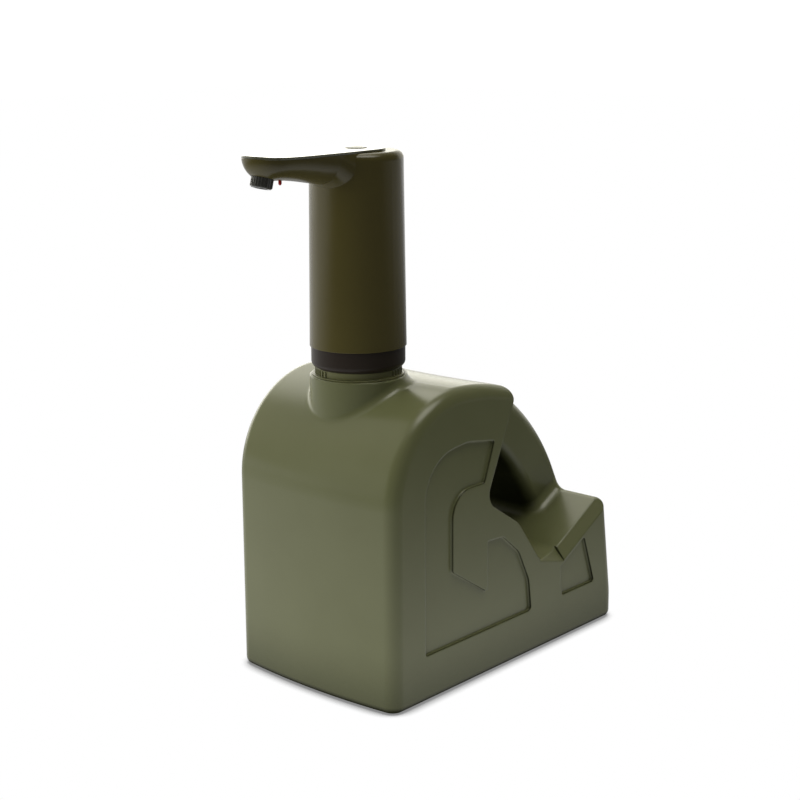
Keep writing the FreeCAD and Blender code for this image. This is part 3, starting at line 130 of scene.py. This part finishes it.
def build_scuff_group():
    """Sparse fine scuffs: long thin marks where the piece is handled."""
    group, enter, leave = group_with(
        "scuffs",
        [("Scale", "value", 60.0), ("Amount", "value", 0.4)],
        [("Mask", "value")],
    )
    place = group.nodes.new("ShaderNodeTexCoord").outputs["Object"]
    turned = group.nodes.new("ShaderNodeMapping")
    turned.inputs["Rotation"].default_value = (0.4, 0.9, 0.3)
    turned.inputs["Scale"].default_value = (1.0, 9.0, 1.0)
    group.links.new(place, turned.inputs["Vector"])
    lines = noise_in(group, turned.outputs["Vector"], enter.outputs["Scale"], 3.0, 0.7)
    lines = ranged(group, lines, 0.66, 0.74)
    where = ranged(group, noise_in(group, place, 14.0, 2.0), 0.5, 0.62)
    mask = calculated(group, "MULTIPLY", lines, where)
    mask = calculated(group, "MULTIPLY", mask, enter.outputs["Amount"])
    group.links.new(mask, leave.inputs["Mask"])
    return group


MOULDING = build_moulding_group()
SCUFFS = build_scuff_group()


def colour_of(red, green, blue):
    """A display colour of 0 to 255 as the renderer's linear colour."""
    def linear(level):
        level /= 255
        return level / 12.92 if level <= 0.04045 else ((level + 0.055) / 1.055) ** 2.4
    return (linear(red), linear(green), linear(blue), 1.0)


def scaled(colour, share, lift=0.0):
    """A colour made lighter or darker."""
    return tuple(min(1.0, level * share + lift) for level in colour[:3]) + (1.0,)


def new_material(name):
    """A material with its node tree and its surface shader."""
    material = bpy.data.materials.new(name)
    material.use_nodes = True
    return material, material.node_tree, material.node_tree.nodes["Principled BSDF"]


def placed_group(tree, group, **values):
    """A shared effect in a material, with its values set by name."""
    node = tree.nodes.new("ShaderNodeGroup")
    node.node_tree = group
    for label, value in values.items():
        node.inputs[label.replace("_", " ")].default_value = value
    return node


# painted shade: the share of the colour kept in hollows
PAINTED_HOLLOW_SHADE = 0.12
WORN_EDGE = 0.0006
WORN_SAMPLES = 6
BUMP_DEPTH = 0.0002


def bumped(tree, height, strength, shader, edge=WORN_EDGE):
    """Fine relief on top of edges that are worn round by a given radius."""
    worn = tree.nodes.new("ShaderNodeBevel")
    worn.samples = WORN_SAMPLES
    worn.inputs["Radius"].default_value = edge
    bump = tree.nodes.new("ShaderNodeBump")
    tree.links.new(worn.outputs["Normal"], bump.inputs["Normal"])
    bump.inputs["Strength"].default_value = strength
    bump.inputs["Distance"].default_value = BUMP_DEPTH
    tree.links.new(height, bump.inputs["Height"])
    tree.links.new(bump.outputs["Normal"], shader.inputs["Normal"])


def moulded(name, colour, cloud, rough=0.42, grain=2600.0, bump=0.25, scuff=0.3,
            coat=0.0, specular=0.5, depth=0.0, edge=WORN_EDGE):
    """Moulded plastic or rubber with grain, clouding and a few scuffs.

    With a depth, painted shade darkens the colour and dims the reflection in hollows about that
    deep.
    """
    material, tree, shader = new_material(name)
    surface = placed_group(tree, MOULDING, Colour=colour, Cloud_Colour=cloud,
                           Grain_Scale=grain, Roughness=rough)
    marks = placed_group(tree, SCUFFS, Amount=scuff)
    pale = scaled(colour, 1.5, 0.01)
    tone = mixed(tree, marks.outputs["Mask"], surface.outputs["Colour"], pale)
    # Painted shade: ambient occlusion darkens the colour and the reflection in hollows.
    if depth:
        open_sky = tree.nodes.new("ShaderNodeAmbientOcclusion")
        open_sky.inputs["Distance"].default_value = depth
        shade = ranged(tree, open_sky.outputs["AO"], 0.3, 0.75)
        tone = mixed(tree, shade, scaled(colour, PAINTED_HOLLOW_SHADE), tone)
        specular_in_painted_shade = calculated(tree, "MULTIPLY", shade, specular)
        tree.links.new(specular_in_painted_shade, shader.inputs["Specular IOR Level"])
    tree.links.new(tone, shader.inputs["Base Color"])
    worn = calculated(tree, "MULTIPLY", marks.outputs["Mask"], 0.2)
    rough_value = calculated(tree, "ADD", surface.outputs["Roughness"], worn)
    tree.links.new(rough_value, shader.inputs["Roughness"])
    bumped(tree, surface.outputs["Height"], bump, shader, edge)
    if not depth:
        shader.inputs["Specular IOR Level"].default_value = specular
    shader.inputs["Coat Weight"].default_value = coat
    return material


def metal(name, colour, rough=0.28, scale=(30.0, 30.0, 900.0)):
    """Drawn or turned steel: fine lines one way, mild tarnish."""
    material, tree, shader = new_material(name)
    place = tree.nodes.new("ShaderNodeTexCoord").outputs["Object"]
    stretch = tree.nodes.new("ShaderNodeMapping")
    stretch.inputs["Scale"].default_value = scale
    tree.links.new(place, stretch.inputs["Vector"])
    lines = noise_in(tree, stretch.outputs["Vector"], 4.0, 4.0)
    dark = scaled(colour, 0.6)
    tarnish = ranged(tree, noise_in(tree, place, 90.0, 5.0), 0.45, 0.75)
    tree.links.new(mixed(tree, tarnish, colour, dark), shader.inputs["Base Color"])
    tree.links.new(ranged(tree, lines, 0.3, 0.7, rough - 0.08, rough + 0.12),
                   shader.inputs["Roughness"])
    bumped(tree, lines, 0.15, shader)
    shader.inputs["Metallic"].default_value = 1.0
    return material


OLIVE = colour_of(110, 113, 78)
OLIVE_CLOUD = colour_of(107, 110, 75)
TAP_BROWN = colour_of(84, 77, 36)
TAP_CLOUD = colour_of(81, 74, 35)
BLACK = colour_of(46, 39, 33)

# The canister gets painted shade in hollows up to 0.09 m deep.
canister_olive = moulded("canister olive", OLIVE, OLIVE_CLOUD, 0.22, 2300.0, 0.1, 0.0,
                         depth=0.09, edge=0.0015)
adapter_olive = moulded("adapter olive", colour_of(114, 115, 76), colour_of(109, 110, 72), 0.28,
                        scuff=0.0)
tap_brown = moulded("tap brown olive", TAP_BROWN, TAP_CLOUD, 0.2, 3000.0, 0.06, 0.0)
plate_gloss = moulded("plate gloss", colour_of(98, 98, 78), colour_of(92, 93, 73),
                      0.12, 600.0, 0.03, 0.1, 0.6)
ring_black = moulded("ring black", BLACK, colour_of(50, 43, 37), 0.34, 2600.0, 0.15, 0.0,
                     specular=0.22)
gloss_black = moulded("nozzle black", colour_of(62, 62, 57), colour_of(66, 66, 61), 0.12, 900.0,
                      0.02, 0.0, 0.8)
soft_rubber = moulded("seal rubber", colour_of(24, 24, 24), colour_of(30, 30, 30), 0.6, 1800.0, 0.5)
button_olive = moulded("button olive", colour_of(84, 84, 62), colour_of(78, 79, 58), 0.3)
inner_grey = moulded("inner grey", colour_of(120, 122, 122), colour_of(112, 114, 114), 0.5)
inner_black = moulded("inner black", colour_of(42, 42, 41), colour_of(50, 50, 48), 0.48)
pump_white = moulded("pump white", colour_of(206, 205, 198), colour_of(196, 195, 188), 0.35)
rotor_blue = moulded("rotor blue", colour_of(60, 104, 142), colour_of(52, 94, 132), 0.35)
cell_wrap = moulded("cell wrap", colour_of(50, 92, 150), colour_of(44, 84, 140), 0.2, 900.0, 0.05)
tube_clear = moulded("clear silicone", colour_of(214, 216, 210), colour_of(204, 207, 200), 0.3)
board_green = moulded("board green", colour_of(28, 92, 52), colour_of(22, 80, 44), 0.3, 1500.0, 0.3)
red_lens = moulded("red lens", colour_of(190, 30, 24), colour_of(170, 22, 18), 0.12, 700.0, 0.02)
fine_steel = metal("fine steel", colour_of(200, 200, 198))
screw_steel = metal("screw steel", colour_of(170, 170, 172), 0.35)

FINISHES = {
    "canister": canister_olive, "neck_adapter": adapter_olive, "tap_housing": tap_brown,
    "top_plate": plate_gloss, "base_ring": ring_black, "aerator_nozzle": gloss_black,
    "aerator_screen": fine_steel, "indicator_lens": red_lens, "power_button": button_olive,
    "tap_chassis": inner_black, "cell_cradle": inner_grey, "pump_housing": pump_white,
    "pump_cover": pump_white, "impeller": rotor_blue, "battery_cell": cell_wrap,
    "pump_motor": fine_steel, "shaft_seal": soft_rubber, "delivery_tube": tube_clear,
    "outlet_elbow": inner_grey, "suction_hose": tube_clear, "hose_clip": fine_steel,
    "strainer_cage": inner_black, "strainer_cap": inner_black, "charge_flap": soft_rubber,
    "charging_port": fine_steel, "tactile_switch": inner_black, "control_board": board_green,
    "neck_o_ring": soft_rubber, "plug_o_ring": soft_rubber, "button_spring": fine_steel,
    "chassis_screws": screw_steel, "pump_screws": screw_steel, "board_screws": screw_steel,
}
for name, material in FINISHES.items():
    mesh = nodes[name].data
    mesh.materials.clear()
    mesh.materials.append(material)


# floor, light and camera

def along(tree, place, direction, low, high):
    """How far a place or a ray lies one way, from 0 to 1."""
    node = tree.nodes.new("ShaderNodeVectorMath")
    node.operation = "DOT_PRODUCT"
    tree.links.new(place, node.inputs[0])
    node.inputs[1].default_value = direction
    return ranged(tree, node.outputs["Value"], low, high)


FLOOR_REACH = 6.0
FLOOR_BRIGHT_AT = (-0.15, -0.1, 0.0)
CONTACT_REACH = 0.015


def new_floor(near, away):
    """White paper: lights the object from below, with a painted contact shadow where the two touch.

    To the object it is as bright as near round one place and on the left, and fades
    to away, with a weaker part behind.
    """
    grid = bmesh.new()
    bmesh.ops.create_grid(grid, x_segments=1, y_segments=1, size=FLOOR_REACH)
    mesh = bpy.data.meshes.new("floor")
    grid.to_mesh(mesh)
    grid.free()
    floor = bpy.data.objects.new("floor", mesh)
    bpy.context.scene.collection.objects.link(floor)
    material, tree, shader = new_material("pale floor")
    tree.nodes.remove(shader)
    place = tree.nodes.new("ShaderNodeTexCoord").outputs["Object"]
    far = tree.nodes.new("ShaderNodeVectorMath")
    far.operation = "DISTANCE"
    tree.links.new(place, far.inputs[0])
    far.inputs[1].default_value = FLOOR_BRIGHT_AT
    dim = ranged(tree, far.outputs["Value"], 0.25, 0.8, near, away)
    left = along(tree, place, (-0.98, 0.2, 0.0), 0.3, 1.3)
    behind = calculated(tree, "MULTIPLY", along(tree, place, (0.0, 1.0, 0.0), 1.1, 2.2), 0.4)
    bounce = blended(tree, calculated(tree, "MAXIMUM", left, behind), dim, near)
    # Painted contact shadow: ambient occlusion darkens the floor to the camera where it meets the
    # object.
    open_sky = tree.nodes.new("ShaderNodeAmbientOcclusion")
    open_sky.samples = 16
    open_sky.inputs["Distance"].default_value = CONTACT_REACH
    painted_contact_shadow = ranged(tree, open_sky.outputs["AO"], 0.4, 0.75, 0.25, 1.0)
    seen = tree.nodes.new("ShaderNodeLightPath").outputs["Is Camera Ray"]
    glow = tree.nodes.new("ShaderNodeEmission")
    tree.links.new(blended(tree, seen, bounce, painted_contact_shadow), glow.inputs["Strength"])
    out = tree.nodes["Material Output"]
    tree.links.new(glow.outputs["Emission"], out.inputs["Surface"])
    floor.data.materials.append(material)


def new_lamp(name, place, aim, power, size):
    """A square soft light that is not seen in reflections."""
    data = bpy.data.lights.new(name, "AREA")
    data.energy = power
    data.size = size
    lamp = bpy.data.objects.new(name, data)
    lamp.location = place
    lamp.rotation_euler = (Vector(aim) - Vector(place)).to_track_quat("-Z", "Y").to_euler()
    lamp.visible_glossy = False
    bpy.context.scene.collection.objects.link(lamp)


def light_world(base, warm, lobes):
    """A soft room of broad lights and dark sides, white to the camera.

    Each lobe is a direction, the two cosines it fades between, and its level.
    """
    world = bpy.data.worlds.new("studio")
    bpy.context.scene.world = world
    world.use_nodes = True
    tree = world.node_tree
    shader = tree.nodes["Background"]
    ray = tree.nodes.new("ShaderNodeTexCoord").outputs["Generated"]
    value = tree.nodes.new("ShaderNodeValue")
    value.outputs[0].default_value = base
    level = value.outputs[0]
    for direction, low, high, strength in lobes:
        mask = along(tree, ray, direction, low, high)
        level = blended(tree, mask, level, strength)
    seen = tree.nodes.new("ShaderNodeLightPath").outputs["Is Camera Ray"]
    tree.links.new(mixed(tree, seen, warm, (1, 1, 1, 1)), shader.inputs["Color"])
    tree.links.new(calculated(tree, "MAXIMUM", level, seen), shader.inputs["Strength"])


def place_camera():
    """The photograph's view: 42 degrees round, 12.6 degrees down."""
    turn, dip, roll = math.radians(41.99), math.radians(12.6), math.radians(-0.4)
    back = Vector((math.sin(turn) * math.cos(dip), -math.cos(turn) * math.cos(dip),
                   math.sin(dip)))
    right = Vector((math.cos(turn), math.sin(turn), 0))
    up = back.cross(right)
    across = right * math.cos(roll) + up * math.sin(roll)
    above = up * math.cos(roll) - right * math.sin(roll)
    data = bpy.data.cameras.new("view")
    data.lens = 74.85
    data.sensor_width = 36
    data.shift_x = 0.0122
    data.shift_y = -0.0381
    data.clip_end = 30
    camera = bpy.data.objects.new("view", data)
    spin = Matrix((across, above, back)).transposed().to_4x4()
    camera.matrix_world = Matrix.Translation((0.7409, -0.7915, 0.4552)) @ spin
    bpy.context.scene.collection.objects.link(camera)
    bpy.context.scene.camera = camera


# direction, the two cosines that it fades between, level; a later one lies over the earlier
LOBES = [
    ((-0.26, -0.35, 0.9), 0.5, 0.95, 0.7),
    ((0.67, -0.74, 0.0), 0.2, 0.7, 0.08),
    ((0.94, 0.34, 0.0), 0.0, 0.5, 0.1),
    ((-0.26, 0.97, 0.0), 0.85, 0.95, 0.9),
    ((-0.91, 0.33, -0.25), 0.68, 0.88, 3.0),
    ((-0.65, 0.33, 0.68), 0.88, 0.98, 2.4),
    ((0.25, 0.1, 0.96), 0.93, 0.97, 3.6),
]
ROOM_LEVEL = 0.3
ROOM_COLOUR = (1.0, 0.98, 0.88, 1)
FLOOR_NEAR = 0.85
FLOOR_AWAY = 0.1
KEY_PLACE = (-1.2, -2.4, 0.3)
KEY_AIM = (0, 0.0, 0.1)
KEY_WATTS = 36
KEY_SIZE = 1.6

new_floor(FLOOR_NEAR, FLOOR_AWAY)
light_world(ROOM_LEVEL, ROOM_COLOUR, LOBES)
new_lamp("key", KEY_PLACE, KEY_AIM, KEY_WATTS, KEY_SIZE)
place_camera()

view = bpy.context.scene.view_settings
view.view_transform = "Standard"
